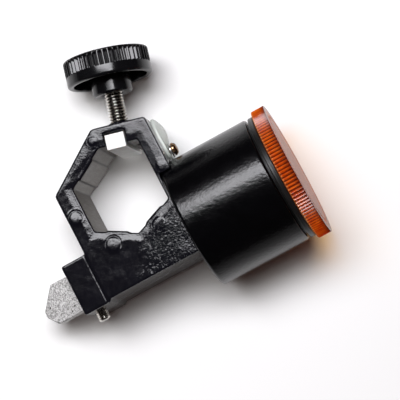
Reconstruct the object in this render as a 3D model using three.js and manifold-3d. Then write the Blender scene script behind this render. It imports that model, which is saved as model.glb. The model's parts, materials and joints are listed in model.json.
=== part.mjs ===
// Sliding carriage of a T-rail glass cutter: a die-cast frame that runs along a rail through its
// bore, a clamp knob, an oil pot that feeds the cutting wheel, and a magnifier over the rail scale.
// Millimetres. +Z is up in use (pot on top, wheel below), +Y runs along the rail, +X is the pot side,
// and the origin is the centre of the rail bore.

import * as THREE from 'three';
import { mergeVertices } from 'three/addons/utils/BufferGeometryUtils.js';
import Module from 'manifold-3d';

const wasm = await Module();
wasm.setup();

// ---------------------------------------------------------------- driving dimensions

const gap = 0.3; // clearance between pieces that touch
const potSegments = 64; // flats around the pot and cap
const knobSegments = 48;
const smallSegments = 20; // flats around screws, holes and small bosses

// Frame casting. Each flat side is { angle, distance }: the angle of its normal in the XZ plane, in
// degrees, and its distance from the origin.
const frameDepth = 26.4;
const frameLeft = { angle: 213.9, distance: 17.8 };
const clampFace = { angle: 164.9, distance: 21.7 };
const frameBottom = { angle: -90, distance: 19.2 };
const webRight = { angle: 0, distance: 29 };
const saddleTop = 14;
const armTop = 18.4;
const shoulderRise = 0.6; // the clamp shoulder stands this much over the arm
const shoulderEndX = -11.3;

const boreFloor = { angle: -90, distance: 12.8 };
const boreLowRight = { angle: -30, distance: 12.95 };
const boreHighRight = { angle: 20.7, distance: 13.5 };
const boreRoof = { angle: 90, distance: 12.95 };
const boreClampSide = { angle: 164.9, distance: 15 };
const boreLowLeft = { angle: 210, distance: 13.1 };
const railStripRise = 0.45; // raised strips on the sloping sides, where the rail touches
const railStripStart = 0.26;
const railStripEnd = 0.78;

// Clamp: the axis points from the bore to the knob, and distances along it are from the origin.
const clampAngle = 164.9;
const clampOffset = 2.84;
const padOffset = 2.4;
const padWidth = 6.3;
const padInner = 13.7;
const padOuter = 18.6;
const padLength = frameDepth - 0.2;
const channelEnd = 19.2;
const bossTop = 23.5;
const bossRadius = 4.7;
const screwRadius = 3;
const screwTipRadius = 2;
const screwTip = 15.3;
const screwShoulder = 18.9;
const screwEnd = 43;
const knobRadius = 14.1;
const knobTop = 46.9;
const knobBandTop = 46.4;
const knobRimBottom = 37.6;
const hubRadius = 6.6;
const hubEnd = 33.1;

// Socket block and cutter head
const blockLeft = 12.3;
const blockRight = 29.8;
const blockBottom = -28;
const blockDepth = 25.2;
const blockCorner = 0.8;
const headLeft = 14.2;
const headRight = 26.9;
const headThickness = 4.8;
const headTop = -20.9;
const headLeftShoulder = -35.5;
const headRightShoulder = -38.5;
const headTip = -41.1;
const headTipWidth = 2.2;
const wheelX = 22.35;
const wheelZ = -40;
const wheelRadius = 1.7;
const wheelThickness = 0.9;
const wheelPocketWidth = 1.5;
const wheelPocketTop = -38;
const axleRadius = 0.5;
const axleHoleRadius = 0.7;
const axleLength = 4.6;
const oilHoleRadius = 0.8;
const setScrewRadius = 2;
const setScrewZ = -24.9;
const setScrewEnd = 32.4;
const setScrewHexRadius = 1.25;

// Oil pot, its outlet and its cap
const potX = 19.1;
const potRadius = 21.7;
const potInnerRadius = 19.9;
const potBottom = saddleTop + gap;
const potFloor = 16.5;
const potLip = 45.6;
const outletHoleRadius = 3.2;
const outletShankRadius = 2.8;
const outletBoreRadius = 1.5;
const outletShankEnd = 8;
const outletHeadRadius = 4.62;
const outletHeadBottom = 18.1;
const outletHeadTop = 20.3;
const washerInnerRadius = 3.1;
const washerOuterRadius = 5.2;
const washerBottom = potFloor + gap;
const washerTop = 17.8;
const wickRadius = 1.15;
const wickPassageRadius = 1.6;
const wickTop = 26;
const wickBottom = -20.6;
const feltRadius = 19.5;
const feltBottom = 17.1;
const feltTop = 26.9;
const feltRelief = 5.6;
const capRadius = 22.9;
const capBottom = 48.4;
const capRimTop = 52.9;
const capApex = 53.1;
const plugRadius = 19.3;
const plugInnerRadius = 17.5;
const plugBottom = 41.5;
const gasketBottom = 46.3;
const gasketTop = 48.1;
const gasketInnerRadius = 19.7;
const gasketOuterRadius = 21.6;

// Magnifier on the arm
const lensX = -12.4;
const lensFloor = 17.9; // floor of the recess that the lens lies in
const lensPlateTop = 19.2;
const lensHalfWidth = 5.4;
const lensTailX = -3.1;
const domeRadius = 8.8;
const domeFootRadius = 5.2;
const windowX = -10.6;
const windowRadius = 2.8;
const lensScrewX = -5.8;
const lensScrewRadius = 1.2;
const lensScrewHoleRadius = 1.5;
const lensScrewBottom = 14.3;
const lensScrewHeadBottom = 20.2;
const lensScrewHeadTop = 21.8;
const lensScrewHeadRadius = 2.2;
const lensWasherRadius = 2.4;
const lensWasherBottom = 19.45;
const lensWasherTop = 19.95;

// ---------------------------------------------------------------- shape helpers

const rad = THREE.MathUtils.degToRad;

// The point where two flat sides meet, as [x, z].
function meet(sideA, sideB) {
  const a = rad(sideA.angle);
  const b = rad(sideB.angle);
  const span = Math.sin(b - a);
  const x = (sideA.distance * Math.sin(b) - sideB.distance * Math.sin(a)) / span;
  const z = (sideB.distance * Math.cos(a) - sideA.distance * Math.cos(b)) / span;
  return [x, z];
}

function between(start, end, fraction) {
  return [start[0] + (end[0] - start[0]) * fraction, start[1] + (end[1] - start[1]) * fraction];
}

// Corner points of a flat side that carries a raised strip facing the bore.
function sideWithStrip(side, start, end) {
  const inward = [-Math.cos(rad(side.angle)) * railStripRise, -Math.sin(rad(side.angle)) * railStripRise];
  const ramp = 0.02;
  const raised = (fraction) => {
    const point = between(start, end, fraction);
    return [point[0] + inward[0], point[1] + inward[1]];
  };
  return [
    between(start, end, railStripStart),
    raised(railStripStart + ramp),
    raised(railStripEnd - ramp),
    between(start, end, railStripEnd),
  ];
}

// An outline through [x, z] corners, each rounded by the same radius.
function outline(corners, radius = 0) {
  const shape = new THREE.Shape();
  const points = corners.map((corner) => new THREE.Vector2(corner[0], corner[1]));
  points.forEach((point, i) => {
    const before = points[(i + points.length - 1) % points.length];
    const after = points[(i + 1) % points.length];
    const enter = point.clone().add(before.clone().sub(point).setLength(radius));
    const leave = point.clone().add(after.clone().sub(point).setLength(radius));
    if (i === 0) {
      shape.moveTo(enter.x, enter.y);
    } else {
      shape.lineTo(enter.x, enter.y);
    }
    if (radius > 0) {
      shape.quadraticCurveTo(point.x, point.y, leave.x, leave.y);
    }
  });
  shape.closePath();
  return shape;
}

// A plate of the given XZ outline, centred on the XZ plane.
function plate(shape, depth) {
  const geometry = new THREE.ExtrudeGeometry(shape, { depth, bevelEnabled: false, curveSegments: 4 });
  geometry.rotateX(Math.PI / 2);
  geometry.translate(0, depth / 2, 0);
  return geometry;
}

// A plate of the given XY outline, from one height to another.
function slab(shape, bottom, top) {
  const options = { depth: top - bottom, bevelEnabled: false, curveSegments: 8 };
  return new THREE.ExtrudeGeometry(shape, options).translate(0, 0, bottom);
}

function block(minX, maxX, minY, maxY, minZ, maxZ) {
  const geometry = new THREE.BoxGeometry(maxX - minX, maxY - minY, maxZ - minZ);
  return geometry.translate((minX + maxX) / 2, (minY + maxY) / 2, (minZ + maxZ) / 2);
}

// A solid of revolution about Z: its profile is a list of [radius, height].
function turned(profile, segments) {
  const points = profile.map((point) => new THREE.Vector2(point[0], point[1]));
  return new THREE.LatheGeometry(points, segments).rotateX(Math.PI / 2);
}

// A ring or tube about Z.
function ring(inner, outer, bottom, top, segments) {
  const profile = [[inner, bottom], [outer, bottom], [outer, top], [inner, top], [inner, bottom]];
  return turned(profile, segments);
}

// A plain round bar about Z.
function bar(radius, bottom, top, segments) {
  return turned([[0, bottom], [radius, bottom], [radius, top], [0, top]], segments);
}

// Points of a quarter round, as [radius, height], counter-clockwise from the given angle.
function quarterRound(centreR, centreZ, radius, startDegrees, steps) {
  return Array.from({ length: steps + 1 }, (_, i) => {
    const angle = rad(startDegrees + (90 * i) / steps);
    return [centreR + radius * Math.cos(angle), centreZ + radius * Math.sin(angle)];
  });
}

function toSolid(geometry) {
  const bare = geometry.clone();
  bare.deleteAttribute('normal');
  bare.deleteAttribute('uv');
  const merged = mergeVertices(bare, 1e-4);
  const vertProperties = new Float32Array(merged.attributes.position.array);
  const triVerts = new Uint32Array(merged.index.array);
  return new wasm.Manifold(new wasm.Mesh({ numProp: 3, vertProperties, triVerts }));
}

function toGeometry(solid) {
  const mesh = solid.getMesh();
  const geometry = new THREE.BufferGeometry();
  geometry.setAttribute('position', new THREE.BufferAttribute(new Float32Array(mesh.vertProperties), 3));
  geometry.setIndex(new THREE.BufferAttribute(new Uint32Array(mesh.triVerts), 1));
  geometry.computeVertexNormals();
  return geometry;
}

// Joins the first list of geometries and cuts the second list from the result.
function shaped(joined, cut) {
  let solid = toSolid(joined[0]);
  joined.slice(1).forEach((geometry) => {
    solid = solid.add(toSolid(geometry));
  });
  cut.forEach((geometry) => {
    solid = solid.subtract(toSolid(geometry));
  });
  return toGeometry(solid);
}

function piece(name, geometry, color, roughness, metalness) {
  const material = new THREE.MeshStandardMaterial({ color, roughness, metalness });
  const mesh = new THREE.Mesh(geometry, material);
  mesh.name = name;
  return mesh;
}

// The clamp's own frame: +Z runs out along the screw, and +X lies across it.
const clampTurn = rad(90 - clampAngle);

// ---------------------------------------------------------------- carriage body

function boreGeometry() {
  const floorLeft = meet(boreLowLeft, boreFloor);
  const floorRight = meet(boreFloor, boreLowRight);
  const waistRight = meet(boreLowRight, boreHighRight);
  const roofRight = meet(boreHighRight, boreRoof);
  const roofLeft = meet(boreRoof, boreClampSide);
  const waistLeft = meet(boreClampSide, boreLowLeft);
  const corners = [
    floorLeft,
    floorRight,
    ...sideWithStrip(boreLowRight, floorRight, waistRight),
    waistRight,
    ...sideWithStrip(boreHighRight, waistRight, roofRight),
    roofRight,
    roofLeft,
    waistLeft,
    ...sideWithStrip(boreLowLeft, waistLeft, floorLeft),
  ];
  return plate(outline(corners), frameDepth * 2);
}

function framePlate() {
  const leftCorner = meet(frameLeft, frameBottom);
  const topLeft = meet(clampFace, frameLeft);
  const shoulderTop = { angle: 92, distance: armTop + shoulderRise };
  const topRight = meet(shoulderTop, clampFace);
  const corners = [
    leftCorner,
    meet(frameBottom, webRight),
    [webRight.distance, armTop],
    [shoulderEndX, armTop],
    topRight,
    topLeft,
  ];
  return plate(outline(corners, 0.9), frameDepth);
}

// Round marks that the ejector pins leave on the front of the casting, as [x, z, radius].
const ejectorMarks = [
  [-18.4, -0.1, 1.8],
  [0.8, -16.2, 2.4],
  [13.9, -9.3, 2.6],
  [15.2, 6.7, 2.4],
  [-1, 15.8, 2],
];
const ejectorMarkRise = 0.3;

function ejectorMark(mark) {
  const depth = 1 + ejectorMarkRise;
  const disc = bar(mark[2], 0, depth, smallSegments);
  disc.rotateX(Math.PI / 2);
  return disc.translate(mark[0], 1 - frameDepth / 2, mark[1]);
}

function lensOutline(grow) {
  const half = lensHalfWidth + grow;
  const shape = new THREE.Shape();
  shape.absarc(lensX, 0, half, Math.PI / 2, Math.PI * 1.5, false);
  shape.lineTo(lensTailX - 3, -half);
  shape.quadraticCurveTo(lensTailX + grow, -half * 0.75, lensTailX + grow, 0);
  shape.quadraticCurveTo(lensTailX + grow, half * 0.75, lensTailX - 3, half);
  shape.closePath();
  return shape;
}

function socketBlock() {
  const corners = [
    [blockLeft, blockBottom],
    [blockRight, blockBottom],
    [blockRight, frameBottom.distance * -1 + 1],
    [blockLeft, frameBottom.distance * -1 + 1],
  ];
  return plate(outline(corners, blockCorner), blockDepth);
}

function carriageBody() {
  const boss = bar(bossRadius, channelEnd + 1, bossTop, smallSegments);
  boss.translate(clampOffset, 0, 0).rotateY(clampTurn);
  const padSide = padWidth / 2 + gap;
  const channel = block(padOffset - padSide, padOffset + padSide, -frameDepth, frameDepth, 12, channelEnd);
  channel.rotateY(clampTurn);
  const screwHole = bar(screwRadius + gap, channelEnd - 1, bossTop + 1, smallSegments);
  screwHole.translate(clampOffset, 0, 0).rotateY(clampTurn);
  const potRoom = bar(potRadius + gap, saddleTop, potLip, potSegments).translate(potX, 0, 0);
  const lensRecess = slab(lensOutline(0.4), lensFloor, lensPlateTop + 3);
  const lensWindow = bar(windowRadius, boreRoof.distance - 3, lensPlateTop, smallSegments);
  lensWindow.translate(windowX, 0, 0);
  const lensScrewHole = bar(lensScrewHoleRadius, lensScrewBottom - gap, lensPlateTop, smallSegments);
  lensScrewHole.translate(lensScrewX, 0, 0);
  const headSide = headThickness / 2 + gap;
  const socketRoof = headTop + 0.4;
  const socket = block(headLeft - gap, headRight + gap, -headSide, headSide, blockBottom - 1, socketRoof);
  const outletHole = bar(outletHoleRadius, outletShankEnd - gap, saddleTop + 1, smallSegments);
  outletHole.translate(potX, 0, 0);
  const wickPassage = bar(wickPassageRadius, socketRoof - 1, outletShankEnd, smallSegments);
  wickPassage.translate(potX, 0, 0);
  const setScrewHole = bar(setScrewRadius + gap, headRight - 1, blockRight + 1, smallSegments);
  setScrewHole.rotateY(Math.PI / 2).translate(0, 0, setScrewZ);
  return shaped(
    [framePlate(), socketBlock(), boss, ...ejectorMarks.map(ejectorMark)],
    [
      boreGeometry(),
      channel,
      screwHole,
      potRoom,
      lensRecess,
      lensWindow,
      lensScrewHole,
      socket,
      outletHole,
      wickPassage,
      setScrewHole,
    ],
  );
}

// ---------------------------------------------------------------- clamp

function pressurePad() {
  const half = padWidth / 2;
  const end = padLength / 2;
  const nylon = block(padOffset - half, padOffset + half, -end, end, padInner, padOuter);
  const tipHole = bar(screwTipRadius + gap, screwTip - gap, padOuter + 1, smallSegments);
  return shaped([nylon], [tipHole.translate(clampOffset, 0, 0)]);
}

function clampScrew() {
  const chamfer = 0.35;
  return turned(
    [
      [0, screwTip],
      [screwTipRadius - chamfer, screwTip],
      [screwTipRadius, screwTip + chamfer],
      [screwTipRadius, screwShoulder],
      [screwRadius - chamfer, screwShoulder],
      [screwRadius, screwShoulder + chamfer],
      [screwRadius, screwEnd - chamfer],
      [screwRadius - chamfer, screwEnd],
      [0, screwEnd],
    ],
    smallSegments,
  );
}

function clampKnob() {
  const boreRadius = screwRadius + gap;
  const webBottom = 42.2;
  const rimInner = knobRadius - 1.9;
  const rimRound = 1.6;
  const rimCentre = knobRimBottom + rimRound;
  return turned(
    [
      [0, screwEnd + gap],
      [boreRadius, screwEnd + gap],
      [boreRadius, hubEnd],
      [hubRadius - 0.6, hubEnd],
      [hubRadius, hubEnd + 0.6],
      [hubRadius, webBottom - 0.8],
      [hubRadius + 0.8, webBottom],
      [rimInner - 0.3, webBottom],
      [rimInner, knobRimBottom + 0.3],
      ...quarterRound(knobRadius - rimRound, rimCentre, rimRound, -90, 3),
      [knobRadius, knobBandTop - 0.5],
      [knobRadius - 0.5, knobBandTop],
      [knobRadius - 3, knobTop - 0.15],
      [0, knobTop],
    ],
    knobSegments,
  );
}

// ---------------------------------------------------------------- cutter head

function cutterHead() {
  const corners = [
    [headLeft, headTop],
    [headLeft, headLeftShoulder],
    [wheelX - headTipWidth / 2, headTip],
    [wheelX + headTipWidth / 2, headTip],
    [headRight, headRightShoulder],
    [headRight, headTop],
  ];
  const half = wheelPocketWidth / 2;
  const reach = wheelRadius + gap;
  const wheelPocket = block(wheelX - half, wheelX + half, -reach, reach, headTip - 1, wheelPocketTop);
  const axleHole = bar(axleHoleRadius, headLeft, headRight + 1, smallSegments).rotateY(Math.PI / 2);
  axleHole.translate(0, 0, wheelZ);
  const oilHole = bar(oilHoleRadius, wheelPocketTop - 1, headTop + 1, smallSegments);
  oilHole.translate(wheelX, 0, 0);
  const side = oilHoleRadius + 0.1;
  const oilTrough = block(potX - 1.2, wheelX + side, -side, side, headTop - 1, headTop + 1);
  return shaped([plate(outline(corners, 0.4), headThickness)], [wheelPocket, axleHole, oilHole, oilTrough]);
}

function cuttingWheel() {
  const half = wheelThickness / 2;
  const shoulder = wheelRadius - 0.55;
  const profile = [
    [axleHoleRadius, -half],
    [shoulder, -half],
    [wheelRadius, 0],
    [shoulder, half],
    [axleHoleRadius, half],
    [axleHoleRadius, -half],
  ];
  return turned(profile, smallSegments).rotateY(Math.PI / 2).translate(wheelX, 0, wheelZ);
}

function wheelAxle() {
  const half = axleLength / 2;
  return bar(axleRadius, -half, half, smallSegments).rotateY(Math.PI / 2).translate(wheelX, 0, wheelZ);
}

function headSetScrew() {
  const start = headRight + gap;
  const chamfer = 0.3;
  const shank = turned(
    [
      [0, start],
      [setScrewRadius - 0.5, start],
      [setScrewRadius, start + 0.5],
      [setScrewRadius, setScrewEnd - chamfer],
      [setScrewRadius - chamfer, setScrewEnd],
      [0, setScrewEnd],
    ],
    smallSegments,
  );
  const hexDepth = 1.8;
  const hexKey = new THREE.CylinderGeometry(setScrewHexRadius, setScrewHexRadius, hexDepth, 6);
  hexKey.rotateX(Math.PI / 2).translate(0, 0, setScrewEnd - hexDepth / 2 + 0.1);
  return shaped([shank], [hexKey]).rotateY(Math.PI / 2).translate(0, 0, setScrewZ);
}

// ---------------------------------------------------------------- oil pot

function oilPot() {
  const footRound = 1;
  const lipRound = 0.85;
  const lipCentre = (potRadius + potInnerRadius) / 2;
  const innerFillet = 0.5;
  const profile = [
    [outletHoleRadius, potBottom],
    ...quarterRound(potRadius - footRound, potBottom + footRound, footRound, -90, 5),
    ...quarterRound(lipCentre + 0.05, potLip - lipRound, lipRound, 0, 4),
    ...quarterRound(lipCentre - 0.05, potLip - lipRound, lipRound, 90, 4),
    [potInnerRadius, potFloor + innerFillet],
    [potInnerRadius - innerFillet, potFloor],
    [outletHoleRadius, potFloor],
    [outletHoleRadius, potBottom],
  ];
  return turned(profile, potSegments).translate(potX, 0, 0);
}

function outletScrew() {
  const headHeight = outletHeadTop - outletHeadBottom;
  const head = new THREE.CylinderGeometry(outletHeadRadius, outletHeadRadius, headHeight, 6);
  head.rotateX(Math.PI / 2).translate(0, 0, outletHeadBottom + headHeight / 2);
  const shank = bar(outletShankRadius, outletShankEnd, outletHeadBottom + 1, smallSegments);
  const oilway = bar(outletBoreRadius, outletShankEnd - 1, outletHeadTop + 1, smallSegments);
  return shaped([head, shank], [oilway]).translate(potX, 0, 0);
}

function outletWasher() {
  const washer = ring(washerInnerRadius, washerOuterRadius, washerBottom, washerTop, smallSegments);
  return washer.translate(potX, 0, 0);
}

function wick() {
  return bar(wickRadius, wickBottom, wickTop, smallSegments).translate(potX, 0, 0);
}

function feltPad() {
  const wickHole = wickRadius + gap;
  const profile = [
    [wickHole, feltTop],
    [wickHole, outletHeadTop + 0.5],
    [feltRelief, outletHeadTop + 0.5],
    [feltRelief, feltBottom],
    [feltRadius, feltBottom],
    [feltRadius, feltTop],
    [wickHole, feltTop],
  ];
  return turned(profile, potSegments).translate(potX, 0, 0);
}

function potCap() {
  const rimRound = 0.5;
  const domeEdge = 18.2;
  const grooveEdge = 19.6;
  const grooveFloor = capRimTop - 0.5;
  const roofUnder = capRimTop - 2.2;
  const domeRise = capApex - capRimTop;
  const dome = Array.from({ length: 9 }, (_, i) => {
    const reach = 1 - i / 8;
    return [domeEdge * reach, capRimTop + domeRise * (1 - reach * reach)];
  });
  const profile = [
    [0, roofUnder],
    [plugInnerRadius, roofUnder],
    [plugInnerRadius, plugBottom],
    [plugRadius, plugBottom],
    [plugRadius, capBottom],
    [capRadius - rimRound / 2, capBottom],
    [capRadius, capBottom + rimRound / 2],
    [capRadius, capRimTop - rimRound],
    [capRadius - rimRound, capRimTop],
    [grooveEdge, capRimTop],
    [grooveEdge - 0.3, grooveFloor],
    [domeEdge + 0.3, grooveFloor],
    ...dome,
  ];
  return turned(profile, potSegments).translate(potX, 0, 0);
}

function capGasket() {
  const round = 0.5;
  const profile = [
    [gasketInnerRadius, gasketBottom],
    [gasketOuterRadius - round, gasketBottom],
    [gasketOuterRadius, gasketBottom + round],
    [gasketOuterRadius, gasketTop - round],
    [gasketOuterRadius - round, gasketTop],
    [gasketInnerRadius, gasketTop],
    [gasketInnerRadius, gasketBottom],
  ];
  return turned(profile, potSegments).translate(potX, 0, 0);
}

// ---------------------------------------------------------------- magnifier

function magnifierLens() {
  const base = slab(lensOutline(0), lensFloor + gap, lensPlateTop);
  const sag = domeRadius - Math.sqrt(domeRadius ** 2 - domeFootRadius ** 2);
  const dome = Array.from({ length: 8 }, (_, i) => {
    const r = (domeFootRadius * (7 - i)) / 7;
    return [r, lensPlateTop + sag - domeRadius + Math.sqrt(domeRadius ** 2 - r ** 2)];
  });
  const profile = [[0, lensPlateTop - 0.5], [domeFootRadius, lensPlateTop - 0.5], ...dome];
  const crown = turned(profile, smallSegments).translate(lensX, 0, 0);
  const screwHole = bar(lensScrewHoleRadius, lensFloor - 1, lensPlateTop + 3, smallSegments);
  screwHole.translate(lensScrewX, 0, 0);
  const washerSeat = bar(lensWasherRadius + gap, lensPlateTop, lensPlateTop + 3, smallSegments);
  washerSeat.translate(lensScrewX, 0, 0);
  return shaped([base, crown], [screwHole, washerSeat]);
}

function lensScrew() {
  const slotWidth = 0.7;
  const slotFloor = lensScrewHeadTop - 0.8;
  const head = [
    [0, lensScrewBottom],
    [lensScrewRadius, lensScrewBottom],
    [lensScrewRadius, lensScrewHeadBottom],
    [lensScrewHeadRadius, lensScrewHeadBottom],
    [lensScrewHeadRadius, lensScrewHeadTop - 0.8],
    [lensScrewHeadRadius - 0.35, lensScrewHeadTop - 0.3],
    [lensScrewHeadRadius - 1, lensScrewHeadTop],
    [0, lensScrewHeadTop],
  ];
  const reach = lensScrewHeadRadius + 1;
  const slot = block(-reach, reach, -slotWidth / 2, slotWidth / 2, slotFloor, lensScrewHeadTop + 1);
  return shaped([turned(head, smallSegments)], [slot.rotateZ(rad(35))]).translate(lensScrewX, 0, 0);
}

function lensWasher() {
  const washer = ring(lensScrewHoleRadius, lensWasherRadius, lensWasherBottom, lensWasherTop, smallSegments);
  return washer.translate(lensScrewX, 0, 0);
}

// ---------------------------------------------------------------- assembly

const cutter = new THREE.Group();

const clamp = new THREE.Group();
clamp.rotation.y = clampTurn;
clamp.add(
  piece('pressure_pad', pressurePad(), 0xf4f4f2, 0.45, 0),
  piece('clamp_screw', clampScrew().translate(clampOffset, 0, 0), 0xb9b1a4, 0.3, 1),
  piece('clamp_knob', clampKnob().translate(clampOffset, 0, 0), 0x0c0c0e, 0.28, 0),
);

const oilSystem = new THREE.Group();
oilSystem.add(
  piece('oil_pot', oilPot(), 0x060607, 0.3, 0.1),
  piece('felt_pad', feltPad(), 0xd8cfb8, 0.95, 0),
  piece('outlet_washer', outletWasher(), 0x8a2f1c, 0.8, 0),
  piece('outlet_screw', outletScrew(), 0xc49a45, 0.35, 1),
  piece('wick', wick(), 0xe6dfcf, 0.95, 0),
  piece('cap_gasket', capGasket(), 0x0b0b0b, 0.6, 0),
  piece('pot_cap', potCap(), 0xd85414, 0.2, 0),
);

const headUnit = new THREE.Group();
headUnit.add(
  piece('cutter_head', cutterHead(), 0xb9bab8, 0.5, 0.8),
  piece('cutting_wheel', cuttingWheel(), 0x6c7076, 0.3, 0.9),
  piece('wheel_axle', wheelAxle(), 0x9a9a9a, 0.35, 1),
  piece('head_set_screw', headSetScrew(), 0xc8c2b8, 0.3, 1),
);

const magnifier = new THREE.Group();
magnifier.add(
  piece('magnifier_lens', magnifierLens(), 0xdfe6dc, 0.08, 0),
  piece('lens_washer', lensWasher(), 0xc9c9c6, 0.35, 1),
  piece('lens_screw', lensScrew(), 0x6b4a2c, 0.35, 1),
);

cutter.add(piece('carriage_body', carriageBody(), 0x1a1a1e, 0.4, 0.3), clamp, oilSystem, headUnit, magnifier);

export default cutter;
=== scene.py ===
import json
import math

import bmesh
import bpy
import numpy as np
from mathutils import Matrix, Vector, noise


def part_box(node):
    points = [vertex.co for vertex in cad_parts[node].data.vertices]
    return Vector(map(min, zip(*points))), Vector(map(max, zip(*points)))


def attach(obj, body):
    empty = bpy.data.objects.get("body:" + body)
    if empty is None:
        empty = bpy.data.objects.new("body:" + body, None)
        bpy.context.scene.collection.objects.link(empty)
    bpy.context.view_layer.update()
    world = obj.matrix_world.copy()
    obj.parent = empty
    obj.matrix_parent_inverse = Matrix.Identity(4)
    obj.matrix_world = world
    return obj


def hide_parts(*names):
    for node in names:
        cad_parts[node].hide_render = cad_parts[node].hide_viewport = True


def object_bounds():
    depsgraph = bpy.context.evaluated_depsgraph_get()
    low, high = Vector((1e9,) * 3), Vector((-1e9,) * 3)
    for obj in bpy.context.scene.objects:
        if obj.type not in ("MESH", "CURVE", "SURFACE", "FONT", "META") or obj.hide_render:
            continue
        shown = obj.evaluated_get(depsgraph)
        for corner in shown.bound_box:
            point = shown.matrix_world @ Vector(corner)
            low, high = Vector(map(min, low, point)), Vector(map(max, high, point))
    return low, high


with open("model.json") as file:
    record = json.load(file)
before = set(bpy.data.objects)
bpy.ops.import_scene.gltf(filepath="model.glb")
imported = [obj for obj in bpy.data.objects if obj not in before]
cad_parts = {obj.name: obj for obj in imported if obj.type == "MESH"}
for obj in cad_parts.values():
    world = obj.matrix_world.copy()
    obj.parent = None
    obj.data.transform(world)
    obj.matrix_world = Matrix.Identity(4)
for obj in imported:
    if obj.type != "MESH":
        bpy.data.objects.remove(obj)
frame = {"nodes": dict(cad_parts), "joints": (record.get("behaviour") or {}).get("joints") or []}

CAD_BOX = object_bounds()
NODES = frame["nodes"]
JOINTS = {j["name"]: j for j in frame["joints"]}
MM = 0.001  # shapes are written in millimetres and made in metres


# ---------------- places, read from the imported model

def box_mm(node):
    low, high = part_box(node)
    return low / MM, high / MM


def upright(node):
    """The place of a piece that is turned about the vertical line through its own middle."""
    low, high = box_mm(node)
    return Matrix.Translation(((low.x + high.x) / 2, (low.y + high.y) / 2, 0))


def lying(node):
    """The same for a piece turned about a line along X: its own Z is the row's X."""
    low, high = box_mm(node)
    middle = ((low.y + high.y) / 2, (low.z + high.z) / 2)
    return Matrix.Translation((0, *middle)) @ Matrix.Rotation(math.pi / 2, 4, "Y")


def along_clamp():
    """The clamp screw's own line: Z runs out along it to the knob, from its nearest point to the origin."""
    joint = JOINTS["knob_turn"]
    axis = Vector(joint["axis"]).normalized()
    point = Vector(joint["pos_m"]) / MM
    side = Vector((0, 1, 0)).cross(axis)
    foot = point - axis * point.dot(axis)
    turned = Matrix((side, Vector((0, 1, 0)), axis)).transposed().to_4x4()
    return Matrix.Translation(foot) @ turned


def reach(node, place):
    """Lowest and highest own Z of a CAD node in the given place, in millimetres."""
    back = place.inverted()
    heights = [(back @ (v.co / MM)).z for v in NODES[node].data.vertices]
    return min(heights), max(heights)


CLAMP = along_clamp()
POT = upright("oil_pot")
POT_LOW, POT_HIGH = box_mm("oil_pot")
CAP_LOW, CAP_HIGH = box_mm("pot_cap")
BODY_LOW = box_mm("carriage_body")[0]


# ---------------- mesh helpers

def placed(name, data):
    """A new object in the scene."""
    made = bpy.data.objects.new(name, data)
    bpy.context.scene.collection.objects.link(made)
    return made


def face_outward(mesh):
    """Turns the faces of a closed mesh outward."""
    work = bmesh.new()
    work.from_mesh(mesh)
    bmesh.ops.recalc_face_normals(work, faces=work.faces)
    work.to_mesh(mesh)
    work.free()


def finish_mesh(name, mesh, body, material, nodes, sharp):
    """Makes a piece of a mesh that is already in metres and in place. Edges over sharp degrees stay sharp."""
    face_outward(mesh)
    mesh.shade_smooth()
    if sharp:
        mesh.set_sharp_from_angle(angle=math.radians(sharp))
    piece = placed(name, mesh)
    mesh.materials.clear()
    mesh.materials.append(material)
    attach(piece, body)
    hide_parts(*nodes)


AS_GOOD_AS_STRAIGHT = 0.49 * math.pi  # half the angle of a corner that needs no fillet
FILLET_SHARE = 0.48  # a fillet takes up at most this share of its shorter side


def filleted(corners, steps=4):
    """A profile through (r, z) corners; a third number rounds that corner by that radius."""
    made = []
    for i, corner in enumerate(corners):
        here = Vector(corner[:2])
        if len(corner) < 3 or i in (0, len(corners) - 1):
            made.append(tuple(here))
            continue
        before = Vector(corners[i - 1][:2]) - here
        after = Vector(corners[i + 1][:2]) - here
        half = before.angle(after) / 2
        if half > AS_GOOD_AS_STRAIGHT:
            made.append(tuple(here))
            continue
        longest = FILLET_SHARE * min(before.length, after.length) * math.tan(half)
        radius = min(corner[2], longest)
        before.normalize()
        after.normalize()
        centre = here + (before + after).normalized() * radius / math.sin(half)
        first = here + before * radius / math.tan(half) - centre
        last = here + after * radius / math.tan(half) - centre
        for k in range(steps + 1):
            spoke = first.lerp(last, k / steps).normalized() * radius
            made.append(tuple(centre + spoke))
    return made


def rows(radius, low, high, step):
    """Points up a straight wall, close enough together to carry a thread or a grain."""
    count = max(1, round(abs(high - low) / step))
    return [(radius, low + (high - low) * i / count) for i in range(count + 1)]


ON_AXIS = 1e-6  # a row with a smaller radius is one point
SAME_WALL = 1e-3  # rows this close to a shape's own radius take that shape
UNCHANGED = 1e-9  # a shape that moves a row by less leaves it alone


def ring_profile(node, inner, outer, low_rounding, high_rounding):
    """The profile of a flat ring as high as a CAD node."""
    low, high = box_mm(node)
    return filleted([(inner, low.z), (outer, low.z, low_rounding), (outer, high.z, high_rounding),
                     (inner, high.z, 0.1), (inner, low.z)])


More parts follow.
